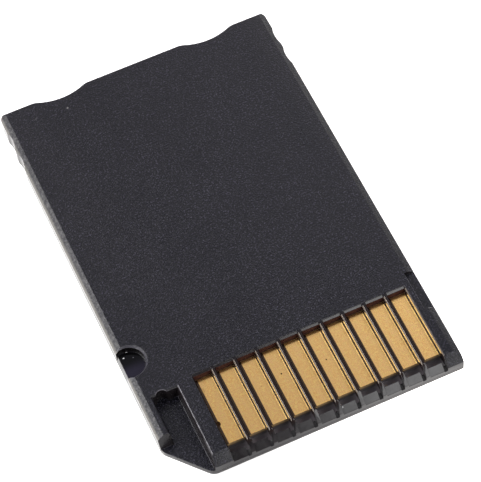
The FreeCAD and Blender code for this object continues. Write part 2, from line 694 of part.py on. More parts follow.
def bridge_chip():
    body = doc.addObject("PartDesign::Body", "bridge_chip")
    package = new_sketch(body, "chip_package", offset="places.board_top")
    add_rectangle(package, "places.chip_middle - sizes.chip_width / 2",
                  "places.chip_middle + sizes.chip_width / 2",
                  "places.component_middle - places.chip_length / 2",
                  "places.component_middle + places.chip_length / 2")
    pad(body, package, "sizes.chip_height")
    top = value("places.board_top + sizes.chip_height")
    bevel_edges(body, "chip_edge", "sizes.chip_edge_bevel",
                lambda edge: all(near(vertex.Z, top) for vertex in edge.Vertexes))
    return body


def small_component(name, across):
    """A capacitor or resistor: two end caps that stand a little above the body between them."""
    body = doc.addObject("PartDesign::Body", name)
    profile = new_sketch(body, name + "_profile", "YZ_Plane")
    half = "sizes.passive_length / 2"
    waist = "sizes.passive_height - sizes.passive_waist"
    add_polygon(profile, [
        (f"-{half}", "0"),
        (f"{half}", "0"),
        (f"{half}", "sizes.passive_height"),
        (f"{half} - sizes.passive_cap_length", "sizes.passive_height"),
        (f"{half} - sizes.passive_cap_length", waist),
        (f"-{half} + sizes.passive_cap_length", waist),
        (f"-{half} + sizes.passive_cap_length", "sizes.passive_height"),
        (f"-{half}", "sizes.passive_height"),
    ])
    pad(body, profile, "sizes.passive_width", symmetric=True)
    body.setExpression("Placement.Base.x", across)
    body.setExpression("Placement.Base.y", "places.component_middle")
    body.setExpression("Placement.Base.z", "places.board_top")
    return body


CAPACITORS = 3
RESISTORS = 2

nodes = [contact_side_shell(), label_side_cover(), circuit_board()]
nodes += [host_contact(number) for number in range(1, int(value("sizes.contact_count")) + 1)]
nodes += [card_spring(number) for number in range(1, int(value("sizes.spring_count")) + 1)]
nodes += [spring_carrier(), bridge_chip()]

first_capacitor = "places.component_bay_left + sizes.passive_inset + sizes.passive_width / 2"
first_resistor = "places.component_bay_right - sizes.passive_inset - sizes.passive_width / 2"
for number in range(CAPACITORS):
    across = f"{first_capacitor} + {number} * sizes.passive_pitch"
    nodes.append(small_component(f"capacitor_{number + 1}", across))
for number in range(RESISTORS):
    across = f"{first_resistor} - {number} * sizes.passive_pitch"
    nodes.append(small_component(f"resistor_{number + 1}", across))

doc.recompute()

# Check and export

for item in doc.Objects:
    if "Invalid" in item.State or "Error" in item.State:
        raise RuntimeError(f"{item.Name} did not recompute")

os.makedirs("parts", exist_ok=True)
for node in nodes:
    if node.Shape.isNull() or not node.Shape.isValid() or len(node.Shape.Solids) != 1:
        raise RuntimeError(f"{node.Name} is not one valid solid")
    node.Label = node.Name
    node.Shape.exportStep(f"parts/{node.Label}.step")
print(len(nodes), "nodes exported")
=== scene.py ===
import math
from types import SimpleNamespace

import bpy
from mathutils import Matrix, Vector


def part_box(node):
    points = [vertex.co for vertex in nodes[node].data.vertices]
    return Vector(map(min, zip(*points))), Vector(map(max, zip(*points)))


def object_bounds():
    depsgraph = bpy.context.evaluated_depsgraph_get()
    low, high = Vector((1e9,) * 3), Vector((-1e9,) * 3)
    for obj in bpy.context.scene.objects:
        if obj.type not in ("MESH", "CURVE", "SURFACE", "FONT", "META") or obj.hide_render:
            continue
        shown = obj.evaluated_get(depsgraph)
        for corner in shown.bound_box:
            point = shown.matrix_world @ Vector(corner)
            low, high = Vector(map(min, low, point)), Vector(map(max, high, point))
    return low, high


# Looks of the memory card adapter, in the frame of the CAD model. Objects and lights are in metres;
# places and sizes on the part's surface are in millimetres.

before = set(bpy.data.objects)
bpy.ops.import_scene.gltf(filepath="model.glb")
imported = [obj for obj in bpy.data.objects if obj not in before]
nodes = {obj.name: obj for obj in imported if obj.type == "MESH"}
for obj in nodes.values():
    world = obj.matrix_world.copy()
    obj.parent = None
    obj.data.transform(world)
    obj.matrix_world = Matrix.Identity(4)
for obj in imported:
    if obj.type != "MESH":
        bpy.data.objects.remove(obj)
cad_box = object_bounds()
MM = 0.001


# Camera, fitted to the photograph's outline

IMAGE_LONG_SIDE = 482
FOCAL_LENGTH_PX = 2498.1
SENSOR = 36.0
CAMERA_AZIMUTH = math.radians(-18.794)
CAMERA_ELEVATION = math.radians(57.575)
CAMERA_ROLL = math.radians(-6.345)
CAMERA_DISTANCE = 165.95 * MM
CAMERA_TARGET = Vector((0.911, -0.703, 0.8)) * MM
NEAREST_SEEN = 10 * MM


def direction(azimuth, elevation):
    """Unit vector towards a place round the object, as the camera's azimuth and elevation are given."""
    flat = math.cos(elevation)
    return Vector((math.sin(azimuth) * flat, -math.cos(azimuth) * flat, math.sin(elevation)))


def add_camera():
    back = direction(CAMERA_AZIMUTH, CAMERA_ELEVATION)
    level_right = Vector((math.cos(CAMERA_AZIMUTH), math.sin(CAMERA_AZIMUTH), 0))
    level_up = back.cross(level_right)
    right = level_right * math.cos(CAMERA_ROLL) + level_up * math.sin(CAMERA_ROLL)
    up = back.cross(right)
    data = bpy.data.cameras.new("photo_camera")
    data.sensor_width = SENSOR
    data.lens = FOCAL_LENGTH_PX / IMAGE_LONG_SIDE * SENSOR
    data.clip_start = NEAREST_SEEN
    camera = bpy.data.objects.new("photo_camera", data)
    turn = Matrix((right, up, back)).transposed().to_4x4()
    camera.matrix_world = Matrix.Translation(CAMERA_TARGET + back * CAMERA_DISTANCE) @ turn
    bpy.context.scene.collection.objects.link(camera)
    bpy.context.scene.camera = camera


# Node trees

class NodeTree:
    """A node tree, with short ways to add the nodes that this scene uses."""

    def __init__(self, tree):
        self.tree = tree

    def feed(self, socket, source):
        """Joins an input to another node's output, or sets its value."""
        if isinstance(source, bpy.types.NodeSocket):
            self.tree.links.new(source, socket)
        else:
            socket.default_value = source

    def add(self, kind, inputs=None, **settings):
        """One node, with its settings, and its inputs set to values or joined to outputs."""
        made = self.tree.nodes.new(kind)
        for name, setting in settings.items():
            setattr(made, name, setting)
        for name, source in (inputs or {}).items():
            self.feed(made.inputs[name], source)
        return made

    def maths(self, operation, first, second=0.0):
        return self.add("ShaderNodeMath", {0: first, 1: second}, operation=operation).outputs[0]

    def vectors(self, operation, first, second):
        return self.add("ShaderNodeVectorMath", {0: first, 1: second}, operation=operation).outputs[0]

    def split(self, vector):
        """The X, Y and Z of a vector."""
        return self.add("ShaderNodeSeparateXYZ", {0: vector}).outputs

    def product(self, first, *others):
        """Zones or amounts, multiplied together."""
        for other in others:
            first = self.maths("MULTIPLY", first, other)
        return first

    def share(self, part, first, second):
        """A fixed part of first and the rest of second."""
        return self.maths("ADD", self.product(first, part), self.product(second, 1 - part))

    def ramp(self, amount, start, end, low=0.0, high=1.0):
        """Smooth step of amount: low up to start, high from end on."""
        made = self.add("ShaderNodeMapRange", {
            "Value": amount, "From Min": start, "From Max": end, "To Min": low, "To Max": high,
        }, interpolation_type="SMOOTHSTEP")
        return made.outputs["Result"]

    def fall(self, amount, start, end):
        """1 up to start, 0 from end on."""
        return self.ramp(amount, start, end, 1.0, 0.0)

    def above(self, amount, limit, soft):
        """1 above a limit, 0 below it, with a soft edge."""
        return self.ramp(amount, limit - soft, limit + soft)

    def below(self, amount, limit, soft):
        """1 below a limit, 0 above it, with a soft edge."""
        return self.fall(amount, limit - soft, limit + soft)

    def within(self, amount, low, high, soft):
        """1 between low and high, 0 outside, with soft edges."""
        return self.product(self.above(amount, low, soft), self.below(amount, high, soft))

    def mix(self, amount, first, second):
        """A number between first and second."""
        return self.add("ShaderNodeMix", {0: amount, 2: first, 3: second}).outputs[0]

    def blend(self, amount, first, second):
        """A colour between first and second, each an output or three numbers."""
        made = self.add("ShaderNodeMix", {0: amount}, data_type="RGBA")
        sockets = [socket for socket in made.inputs if socket.type == "RGBA"]
        for socket, source in zip(sockets, (first, second)):
            self.feed(socket, (*source, 1.0) if isinstance(source, tuple) else source)
        return next(socket for socket in made.outputs if socket.type == "RGBA")


class Surface(NodeTree):
    """A new material, with the place, in millimetres, and the facing of each point of its surface."""

    SPOT_EDGE = (0.7, 1.1)

    def __init__(self, name):
        self.material = bpy.data.materials.new(name)
        self.material.use_nodes = True
        super().__init__(self.material.node_tree)
        self.shader = self.tree.nodes["Principled BSDF"]
        on_object = self.add("ShaderNodeTexCoord").outputs["Object"]
        self.place = self.vectors("MULTIPLY", on_object, (1 / MM,) * 3)
        self.axes = self.split(self.place)
        self.facing = self.split(self.add("ShaderNodeNewGeometry").outputs["True Normal"])

    def noise(self, scale, detail, roughness, stretch=None):
        """Noise over the place, with scale features to a millimetre."""
        place = self.vectors("MULTIPLY", self.place, stretch) if stretch else self.place
        return self.add("ShaderNodeTexNoise", {
            "Vector": place, "Scale": scale, "Detail": detail, "Roughness": roughness,
        }).outputs["Fac"]

    def plan_reach(self, centre, size=(1.0, 1.0)):
        """How far the place is from a centre in plan, counted in sizes."""
        shift = self.vectors("SUBTRACT", self.place, (*centre, 0))
        flat = self.vectors("MULTIPLY", shift, (1 / size[0], 1 / size[1], 0))
        return self.add("ShaderNodeVectorMath", {0: flat}, operation="LENGTH").outputs["Value"]

    def spot(self, centre, size):
        """1 inside a soft round or oval spot in plan, 0 outside."""
        return self.fall(self.plan_reach(centre, size), *self.SPOT_EDGE)

    def bump(self, height, strength, depth):
        """The normals that a height gives the surface, with a depth in millimetres."""
        return self.add("ShaderNodeBump", {
            "Height": height, "Strength": strength, "Distance": depth * MM,
        }).outputs["Normal"]

    def dress(self, **sources):
        """Feeds the shader's inputs of those names, with _ for a space, and gives the material."""
        for name, source in sources.items():
            self.feed(self.shader.inputs[name.replace("_", " ")], source)
        return self.material


# Materials. A noise is given by its features to a millimetre, its detail and its roughness, and a bump
# by its strength and depth. Names in _X, _Y and _Z are the limits of a zone along that axis.

# Widths over which the edge of a zone fades
HAIR = 0.01
FINE = 0.02
SOFT = 0.03
WIDE = 0.05
BROAD = 0.1

# The values that a noise mostly keeps to, and a narrower share of them for more contrast
NOISE_SPAN = (0.3, 0.7)
MIDDLE_SPAN = (0.35, 0.65)

# Zones of the housing
CONTACT_HALF_Z = (0.3, 0.35)
WINDOWS_X = (-6.24, 8.92)
WINDOWS_REAR = -9.02
RIBS_Y = (-15.0, -9.22)
PIT_Y = (-15.02, -14.28)
PIT_TOP = 0.97
REAR_WALL_Y = -9.2
REAR_WALL_FACING_Y = (-0.9, -0.8)
NOTCH_PLACE = (-9.48, -6.35)
NOTCH_REACH = (1.26, 1.26)
NOTCH_RIM_Z = (1.5, 1.58)
KEYWAY_X = (-9.12, -7.38)
KEYWAY_REAR = -9.15
KEYWAY_FLOOR_Z = (0.58, 0.62)
KEY_EDGE_X = (-7.5, -7.25)
KEY_EDGE_Y = (-15.3, -9.3)
KEY_EDGE_FACING_X = (-0.6, -0.3)
UPRIGHT_FACING_Z = (0.25, 0.5)


def housing_zones(skin):
    """The places on the moulding with a finish of their own, each 1 inside and 0 outside."""
    axes, facing = skin.axes, skin.facing
    contact_half = skin.ramp(axes["Z"], *CONTACT_HALF_Z)
    windows = skin.product(
        skin.within(axes["X"], *WINDOWS_X, SOFT),
        skin.below(axes["Y"], WINDOWS_REAR, SOFT),
        contact_half,
    )
    notch = skin.product(
        skin.spot(NOTCH_PLACE, NOTCH_REACH),
        skin.fall(axes["Z"], *NOTCH_RIM_Z),
        contact_half,
    )
    key_edge = skin.product(
        skin.within(axes["X"], *KEY_EDGE_X, HAIR),
        skin.within(axes["Y"], *KEY_EDGE_Y, WIDE),
        skin.fall(facing["X"], *KEY_EDGE_FACING_X),
    )
    keyway = skin.product(
        skin.within(axes["X"], *KEYWAY_X, SOFT),
        skin.below(axes["Y"], KEYWAY_REAR, FINE),
        skin.fall(axes["Z"], *KEYWAY_FLOOR_Z),
        contact_half,
    )
    pit = skin.product(
        windows,
        skin.within(axes["Y"], *PIT_Y, HAIR),
        skin.below(axes["Z"], PIT_TOP, FINE),
    )
    rear_wall = skin.product(
        skin.fall(facing["Y"], *REAR_WALL_FACING_Y),
        skin.above(axes["Y"], REAR_WALL_Y, HAIR),
        windows,
    )
    polished = skin.maths("MAXIMUM", skin.maths("MAXIMUM", windows, notch), key_edge)
    upright = skin.fall(skin.maths("ABSOLUTE", facing["Z"]), *UPRIGHT_FACING_Z)
    return SimpleNamespace(
        contact_half=contact_half, windows=windows, notch=notch, key_edge=key_edge, keyway=keyway,
        pit=pit, rear_wall=rear_wall, polished=polished, upright=upright,
        ribs=skin.product(windows, skin.within(axes["Y"], *RIBS_Y, FINE)),
        textured=skin.maths("SUBTRACT", 1.0, skin.maths("MAXIMUM", polished, upright)),
    )


# Tones of the housing, with a painted highlight, shade, light and reflection
PLASTIC_DARK = (0.001, 0.001, 0.0022)
PLASTIC_PALE = (0.039, 0.037, 0.053)
PLASTIC_SMOOTH = (0.006, 0.005, 0.0055)
PLASTIC_RIB = (0.0075, 0.0045, 0.004)
# Painted light: a pale tone that lifts the shaded pits ahead of the board
PIT_PAINTED_LIGHT = (0.09, 0.08, 0.085)
# Painted reflection: a dark red tone on the windows' rear walls, for the gold that they mirror
REAR_WALL_GOLD_REFLECTION = (0.022, 0.0035, 0.0025)
# Painted highlight: a pale tone on the left bevel of each rib, where a light from the left would glint
RIB_EDGE_HIGHLIGHT = (0.09, 0.073, 0.058)
RIB_EDGE_FACING_X = (-0.55, -0.45)
RIB_EDGE_FACING_Z = (0.3, 0.45)
NOTCH_FLOOR = (0.009, 0.008, 0.014)
# Painted shade: the notch's floor goes darker towards its rear wall
NOTCH_FLOOR_SHADE = (0.0005, 0.0005, 0.0005)
NOTCH_SHADE_Y = (-6.9, -6.0)
SPARKS = (16.0, 1.0, 0.5)
SPARK_SPAN = (0.35, 0.7)
SPARK_SHADE = (0.1, 1.0)
SPECKLE_SPAN = (0.48, 0.73)
CLOUD_SHADE = (0.75, 1.15)


def housing_tones(skin, zones, grains, clouds):
    """The colour of the clean moulding: speckled where it is textured, plain where it is smooth, with a
    painted highlight on the ribs' left bevels, painted shade on the rear of the notch's floor, painted
    light in the pits ahead of the board and a painted gold reflection on the windows' rear walls.
    """
    speckle = skin.product(
        skin.ramp(grains, *SPECKLE_SPAN),
        skin.ramp(skin.noise(*SPARKS), *SPARK_SPAN, *SPARK_SHADE),
        skin.ramp(clouds, *NOISE_SPAN, *CLOUD_SHADE),
    )
    # Painted shade on the rear of the notch's floor
    notch_floor = skin.blend(skin.ramp(skin.axes["Y"], *NOTCH_SHADE_Y), NOTCH_FLOOR, NOTCH_FLOOR_SHADE)
    # Painted highlight on the left bevels of the ribs
    rib_highlight = skin.product(
        skin.fall(skin.facing["X"], *RIB_EDGE_FACING_X),
        skin.ramp(skin.facing["Z"], *RIB_EDGE_FACING_Z),
        zones.ribs,
    )
    smooth = PLASTIC_SMOOTH
    # These zones add a painted highlight, painted shade, painted light and a painted reflection
    for zone, tone in (
        (zones.ribs, PLASTIC_RIB), (zones.notch, notch_floor), (rib_highlight, RIB_EDGE_HIGHLIGHT),
        (zones.pit, PIT_PAINTED_LIGHT), (zones.rear_wall, REAR_WALL_GOLD_REFLECTION),
    ):
        smooth = skin.blend(zone, smooth, tone)
    return skin.blend(zones.textured, smooth, skin.blend(speckle, PLASTIC_DARK, PLASTIC_PALE))


# Wear, dust, and painted highlights, glints and light of the housing. A mark is given by its middle and
# its half sizes.
SIDE_BEVEL_X = -9.3
SIDE_BEVEL_FACING_X = (-0.9, -0.35)
# Mottled wear, and painted light: it is kept to the left side bevel, which it lightens
SIDE_WEAR_AND_LIGHT = (0.045, 0.043, 0.045)
SIDE_WEAR_NOISE = (5.0, 3.0, 0.65)
SIDE_WEAR_SPAN = (0.38, 0.74)
# Painted highlight: a pale strip along the outer edge of the left side bevel
OUTER_HIGHLIGHT = (0.11, 0.104, 0.092)
OUTER_HIGHLIGHT_X = (-9.98, -9.8)
# Painted highlight: a paler ring on the notch's rim bevel
NOTCH_EDGE_HIGHLIGHT = (0.025, 0.0245, 0.03)
NOTCH_EDGE_RADII = (1.11, 1.24)
NOTCH_EDGE_Z = (1.46, 1.58)
# Painted highlight: a pale tone on the keyway's top edge, the right step's inner edge and the relief's
# rim, where light would glint
PALE_EDGE_HIGHLIGHT = (0.12, 0.115, 0.125)
KEY_EDGE_Z = (1.53, 1.57)
KEY_HIGHLIGHT_NOISE = (2.5, 3.0, 0.6)
KEY_HIGHLIGHT_SPAN = (0.38, 0.62)
KEY_HIGHLIGHT_STRENGTH = (0.35, 1.0)
# Painted highlight: a pale line along the right step's inner edge
STEP_EDGE_X = (9.3, 9.35)
STEP_EDGE_Y = (-11.1, -8.4)
STEP_EDGE_STRENGTH = 0.5
# Painted highlight: a fainter pale line at the foot of the keyway's right wall
FOOT_HIGHLIGHT = (0.06, 0.058, 0.065)
KEY_FOOT_Z = (0.56, 0.62)
# Painted highlight: a pale arc on the rear half of the relief's rim
RELIEF_PLACE = (-8.51, -9.6)
RELIEF_INNER = (0.4, 0.4)
RELIEF_OUTER = (0.47, 0.47)
RELIEF_EDGE_Z = (1.54, 1.56)
DUST = (0.11, 0.107, 0.104)
DUST_SPECKS = [((-5.51, 13.95), (0.08, 0.06))]
# Painted glints: small pale spots in the notch, at the left end of a ramp and at the right step's front
# end
PAINTED_GLINT = (0.34, 0.34, 0.34)
PAINTED_GLINTS = [
    ((-9.59, -5.65), (0.07, 0.05)), ((-9.26, -5.32), (0.06, 0.03)),
    ((1.58, -15.14), (0.03, 0.06)), ((9.72, -11.2), (0.2, 0.03)),
]
# A faint painted glint in the notch, and a faint speck near the rear
FAINT = (0.045, 0.045, 0.05)
FAINT_SPECK_AND_GLINT = [((-9.01, -5.87), (0.05, 0.04)), ((-7.8, 14.07), (0.06, 0.04))]


def housing_wear_and_light(skin, zones, colour):
    """Puts the painted highlights on the edges, the wear and painted light on the left side bevel, the
    dust, the painted glints and the faint speck over a colour.
    """
    axes = skin.axes
    side_bevel = skin.product(
        skin.within(skin.facing["X"], *SIDE_BEVEL_FACING_X, WIDE),
        skin.below(axes["X"], SIDE_BEVEL_X, WIDE),
    )
    # Wear with painted light, on the left side bevel only
    side_wear_and_light = skin.product(side_bevel, skin.ramp(skin.noise(*SIDE_WEAR_NOISE), *SIDE_WEAR_SPAN))
    # Painted highlight on the outer edge of the left side bevel
    outer_highlight = skin.product(side_bevel, skin.fall(axes["X"], *OUTER_HIGHLIGHT_X))
    # Painted highlight on the notch's rim
    notch_highlight = skin.product(
        skin.within(axes["Z"], *NOTCH_EDGE_Z, HAIR),
        skin.within(skin.plan_reach(NOTCH_PLACE), *NOTCH_EDGE_RADII, HAIR),
    )
    # Painted highlight along the keyway's top edge, broken up by a noise
    key_highlight = skin.product(
        zones.key_edge,
        skin.ramp(axes["Z"], *KEY_EDGE_Z),
        skin.ramp(skin.noise(*KEY_HIGHLIGHT_NOISE), *KEY_HIGHLIGHT_SPAN, *KEY_HIGHLIGHT_STRENGTH),
    )
    # Painted highlight along the right step's inner edge
    step_highlight = skin.product(
        skin.within(axes["X"], *STEP_EDGE_X, HAIR),
        skin.within(axes["Y"], *STEP_EDGE_Y, BROAD),
        zones.contact_half,
        STEP_EDGE_STRENGTH,
    )
    # Painted highlight at the foot of the keyway's right wall
    foot_highlight = skin.product(zones.key_edge, skin.fall(axes["Z"], *KEY_FOOT_Z))
    relief_ring = skin.maths(
        "SUBTRACT", skin.spot(RELIEF_PLACE, RELIEF_OUTER), skin.spot(RELIEF_PLACE, RELIEF_INNER))
    # Painted highlight on the rear half of the relief's rim
    relief_highlight = skin.product(
        relief_ring,
        skin.above(axes["Y"], RELIEF_PLACE[1], BROAD),
        skin.ramp(axes["Z"], *RELIEF_EDGE_Z),
    )
    wear_and_light = [
        (side_wear_and_light, SIDE_WEAR_AND_LIGHT), (outer_highlight, OUTER_HIGHLIGHT), (notch_highlight, NOTCH_EDGE_HIGHLIGHT),
        (key_highlight, PALE_EDGE_HIGHLIGHT), (step_highlight, PALE_EDGE_HIGHLIGHT), (foot_highlight, FOOT_HIGHLIGHT), (relief_highlight, PALE_EDGE_HIGHLIGHT),
    ]
    for marks, tone in ((DUST_SPECKS, DUST), (PAINTED_GLINTS, PAINTED_GLINT), (FAINT_SPECK_AND_GLINT, FAINT)):
        wear_and_light += [(skin.product(skin.spot(*mark), zones.contact_half), tone) for mark in marks]
    for zone, tone in wear_and_light:
        colour = skin.blend(zone, colour, tone)
    return colour


# Finish of the housing
GRAINS = (8.8, 2.0, 0.6)
CLOUDS = (0.35, 3.0, 0.55)
FLOW = (2.6, 4.0, 0.6)
MATTE_ROUGHNESS = (0.3, 0.4)
CLOUD_ROUGHNESS = (-0.03, 0.03)
KEYWAY_ROUGHNESS = (0.2, 0.3)
SATIN_ROUGHNESS = (0.14, 0.22)
GLOSS_ROUGHNESS = (0.1, 0.16)
REAR_WALL_ROUGHNESS = 0.75
FLOW_HEIGHT = 0.01
PLASTIC_BUMP = (0.8, 0.06)
PLASTIC_SPECULAR = 0.24


def housing_roughness(skin, zones, grains, clouds, flow):
    """Matte where the moulding is textured, satin on its outer walls, glossy where it is polished."""
    matte = skin.maths(
        "ADD", skin.ramp(grains, *NOISE_SPAN, *MATTE_ROUGHNESS),
        skin.ramp(clouds, *NOISE_SPAN, *CLOUD_ROUGHNESS))
    floors = skin.mix(zones.keyway, matte, skin.ramp(grains, *NOISE_SPAN, *KEYWAY_ROUGHNESS))
    outside = skin.mix(zones.upright, floors, skin.ramp(flow, *NOISE_SPAN, *SATIN_ROUGHNESS))
    gloss = skin.ramp(flow, *NOISE_SPAN, *GLOSS_ROUGHNESS)
    inside = skin.mix(zones.rear_wall, gloss, REAR_WALL_ROUGHNESS)
    return skin.mix(zones.polished, outside, inside)


def shell_plastic():
    """Black moulding: spark texture on open faces, satin outer walls, glossy windows, ribs and notch."""
    skin = Surface("shell_plastic")
    zones = housing_zones(skin)
    grains, clouds, flow = (skin.noise(*look) for look in (GRAINS, CLOUDS, FLOW))
    clean_and_painted = housing_tones(skin, zones, grains, clouds)
    ripple = skin.product(skin.maths("SUBTRACT", 1.0, zones.windows), FLOW_HEIGHT)
    height = skin.maths("ADD", skin.product(grains, zones.textured), skin.product(flow, ripple))
    return skin.dress(
        Base_Color=housing_wear_and_light(skin, zones, clean_and_painted),
        Roughness=housing_roughness(skin, zones, grains, clouds, flow),
        Normal=skin.bump(height, *PLASTIC_BUMP),
        Specular_IOR_Level=PLASTIC_SPECULAR,
    )


# Gold of the contacts and springs
GOLD = (1.0, 0.62, 0.23)
GOLD_DULL = (0.86, 0.51, 0.16)
GOLD_GREEN = (0.97, 0.66, 0.21)
PLATE_GRAIN = (9.0, 3.0, 0.6)
PLATE_STRETCH = (1.0, 0.06, 1.0)
PLATE_MOTTLE = (2.2, 3.0, 0.6)
PLATE_GRAIN_SHARE = 0.55
GREEN_NOISE = (6.0, 2.0, 0.6)
GREEN_SPAN = (0.42, 0.68)
PLATE_ROUGHNESS = (0.25, 0.18)
PLATE_BUMP = (0.25, 0.004)
# Painted shadow: a dark strip along each contact's left edge, beside the rib
RIB_SHADOW = (0.075, 0.053, 0.035)
RIB_SHADOW_WIDTH = (0.125, 0.175)
STAIN = (0.35, 0.2, 0.06)
STAIN_STRENGTH = 0.3
PAD_STAINS = [((-5.92, -10.1), (0.12, 0.22)), ((-2.43, -11.44), (0.06, 0.06))]
SCAR = (0.035, 0.018, 0.008)
PAD_SCARS = [
    ((-5.99, -12.72), (0.14, 0.2)), ((-6.1, -12.8), (0.1, 0.13)),
    ((-0.9, -11.17), (0.06, 0.06)), ((2.14, -11.49), (0.05, 0.05)),
]


def contact_marks(skin, colour):
    """Puts a painted shadow of the rib along each contact's left edge, the stains and the scars over a
    colour.
    """
    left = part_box("host_contact_01")[0][0] / MM
    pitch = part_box("host_contact_02")[0][0] / MM - left
    from_left = skin.maths("MODULO", skin.maths("SUBTRACT", skin.axes["X"], left), pitch)
    # Painted shadow along each contact's left edge
    colour = skin.blend(skin.fall(from_left, *RIB_SHADOW_WIDTH), colour, RIB_SHADOW)
    for mark in PAD_STAINS:
        colour = skin.blend(skin.product(skin.spot(*mark), STAIN_STRENGTH), colour, STAIN)
    for mark in PAD_SCARS:
        colour = skin.blend(skin.spot(*mark), colour, SCAR)
    return colour


def gold_plating(name, marked):
    """Satin gold plate with a fine lengthwise grain. If marked, it carries the contacts' marks."""
    skin = Surface(name)
    grain = skin.noise(*PLATE_GRAIN, stretch=PLATE_STRETCH)
    tint = skin.share(PLATE_GRAIN_SHARE, grain, skin.noise(*PLATE_MOTTLE))
    colour = skin.blend(skin.ramp(tint, *MIDDLE_SPAN), GOLD_DULL, GOLD)
    colour = skin.blend(skin.ramp(skin.noise(*GREEN_NOISE), *GREEN_SPAN), colour, GOLD_GREEN)
    return skin.dress(
        Base_Color=contact_marks(skin, colour) if marked else colour,
        Metallic=1.0,
        Roughness=skin.ramp(tint, *NOISE_SPAN, *PLATE_ROUGHNESS),
        Normal=skin.bump(grain, *PLATE_BUMP),
    )


# Circuit board
BOARD_MASK = (0.06, 0.034, 0.014)
BOARD_MASK_PALE = (0.11, 0.066, 0.03)
MASK_MOTTLE = (3.0, 3.0, 0.6)
MASK_ROUGHNESS = (0.3, 0.42)
LAMINATE = (0.3, 0.2, 0.09)
LAMINATE_DARK = (0.17, 0.11, 0.05)
WEAVE = (12.0, 2.0, 0.5)
WEAVE_STRETCH = (1.0, 1.0, 3.0)
# Painted shade: below this height the cut edge takes the mask's dark tone
CUT_EDGE_PAINTED_SHADE_Z = (0.66, 0.82)
CUT_EDGE_FACING_Z = (0.3, 0.6)
CUT_EDGE_ROUGHNESS = 0.75
BOARD_BUMP = (0.3, 0.006)


def board_laminate():
    """Dark solder mask on the faces, glass-filled laminate on the cut edges, with painted shade in the
    mask's tone on their lower part.
    """
    skin = Surface("board_laminate")
    weave = skin.noise(*WEAVE, stretch=WEAVE_STRETCH)
    mottle = skin.noise(*MASK_MOTTLE)
    mask = skin.blend(mottle, BOARD_MASK, BOARD_MASK_PALE)
    laminate = skin.blend(skin.ramp(weave, *MIDDLE_SPAN), LAMINATE_DARK, LAMINATE)
    # Painted shade on the lower part of the cut edge
    cut = skin.blend(skin.ramp(skin.axes["Z"], *CUT_EDGE_PAINTED_SHADE_Z), BOARD_MASK, laminate)
    edge = skin.fall(skin.maths("ABSOLUTE", skin.facing["Z"]), *CUT_EDGE_FACING_Z)
    mask_roughness = skin.ramp(mottle, *NOISE_SPAN, *MASK_ROUGHNESS)
    return skin.dress(
        Base_Color=skin.blend(edge, mask, cut),
        Roughness=skin.mix(edge, mask_roughness, CUT_EDGE_ROUGHNESS),
        Normal=skin.bump(weave, *BOARD_BUMP),
    )


# Inner pieces: dark and pale tone, and roughness
BODY_GRAIN = (14.0, 3.0, 0.6)
BODY_MOTTLE = (3.5, 2.0, 0.5)
BODY_GRAIN_SHARE = 0.6
BODY_BUMP = (0.4, 0.008)
CARRIER_TONES = ((0.012, 0.012, 0.012), (0.03, 0.03, 0.03))
CARRIER_ROUGHNESS = (0.4, 0.55)
CHIP_TONES = ((0.009, 0.009, 0.01), (0.022, 0.022, 0.024))
CHIP_ROUGHNESS = (0.45, 0.6)
CAPACITOR_TONES = ((0.3, 0.21, 0.13), (0.42, 0.31, 0.2))
RESISTOR_TONES = ((0.01, 0.01, 0.011), (0.02, 0.02, 0.022))
TIN = (0.62, 0.61, 0.59)
CAP_LENGTH = 0.22
CERAMIC_ROUGHNESS = (0.35, 0.5)
CERAMIC_BUMP = (0.35, 0.008)


def moulded(name, tones, roughness):
    """A small moulded body: mottled, with a fine grain."""
    skin = Surface(name)
    grain = skin.noise(*BODY_GRAIN)
    tint = skin.share(BODY_GRAIN_SHARE, grain, skin.noise(*BODY_MOTTLE))
    return skin.dress(
        Base_Color=skin.blend(skin.ramp(tint, *MIDDLE_SPAN), *tones),
        Roughness=skin.ramp(tint, *NOISE_SPAN, *roughness),
        Normal=skin.bump(grain, *BODY_BUMP),
    )


def small_part(name, like, tones):
    """A capacitor or resistor: a fired body between tinned end caps, as long as the node named like."""
    skin = Surface(name)
    grain = skin.noise(*BODY_GRAIN)
    front, rear = (corner[1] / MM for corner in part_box(like))
    from_middle = skin.maths("ABSOLUTE", skin.maths("SUBTRACT", skin.axes["Y"], (front + rear) / 2))
    cap = skin.above(from_middle, (rear - front) / 2 - CAP_LENGTH, HAIR)
    body = skin.blend(skin.ramp(grain, *MIDDLE_SPAN), *tones)
    return skin.dress(
        Base_Color=skin.blend(cap, body, TIN),
        Metallic=cap,
        Roughness=skin.ramp(grain, *NOISE_SPAN, *CERAMIC_ROUGHNESS),
        Normal=skin.bump(grain, *CERAMIC_BUMP),
    )


def dress_nodes():
    """Gives every CAD node its material, by the start of its name."""
    plastic = shell_plastic()
    finishes = {
        "contact_side_shell": plastic,
        "label_side_cover": plastic,
        "circuit_board": board_laminate(),
        "host_contact": gold_plating("contact_gold", True),
        "card_spring": gold_plating("spring_gold", False),
        "spring_carrier": moulded("carrier_moulding", CARRIER_TONES, CARRIER_ROUGHNESS),
        "bridge_chip": moulded("chip_moulding", CHIP_TONES, CHIP_ROUGHNESS),
        "capacitor": small_part("capacitor_ceramic", "capacitor_1", CAPACITOR_TONES),
        "resistor": small_part("resistor_ceramic", "resistor_1", RESISTOR_TONES),
    }
    for name, node in nodes.items():
        kind = next(start for start in finishes if name.startswith(start))
        node.data.materials.clear()
        node.data.materials.append(finishes[kind])


# Edges of the housing

HOUSING = ("contact_side_shell", "label_side_cover")
WELD_REACH = 0.0005 * MM
FLAT_ANGLE = math.radians(0.5)
EDGE_ROUND = 0.02 * MM
EDGE_ANGLE = math.radians(28)
EDGE_STEPS = 2
SMOOTH_ANGLE = math.radians(12)


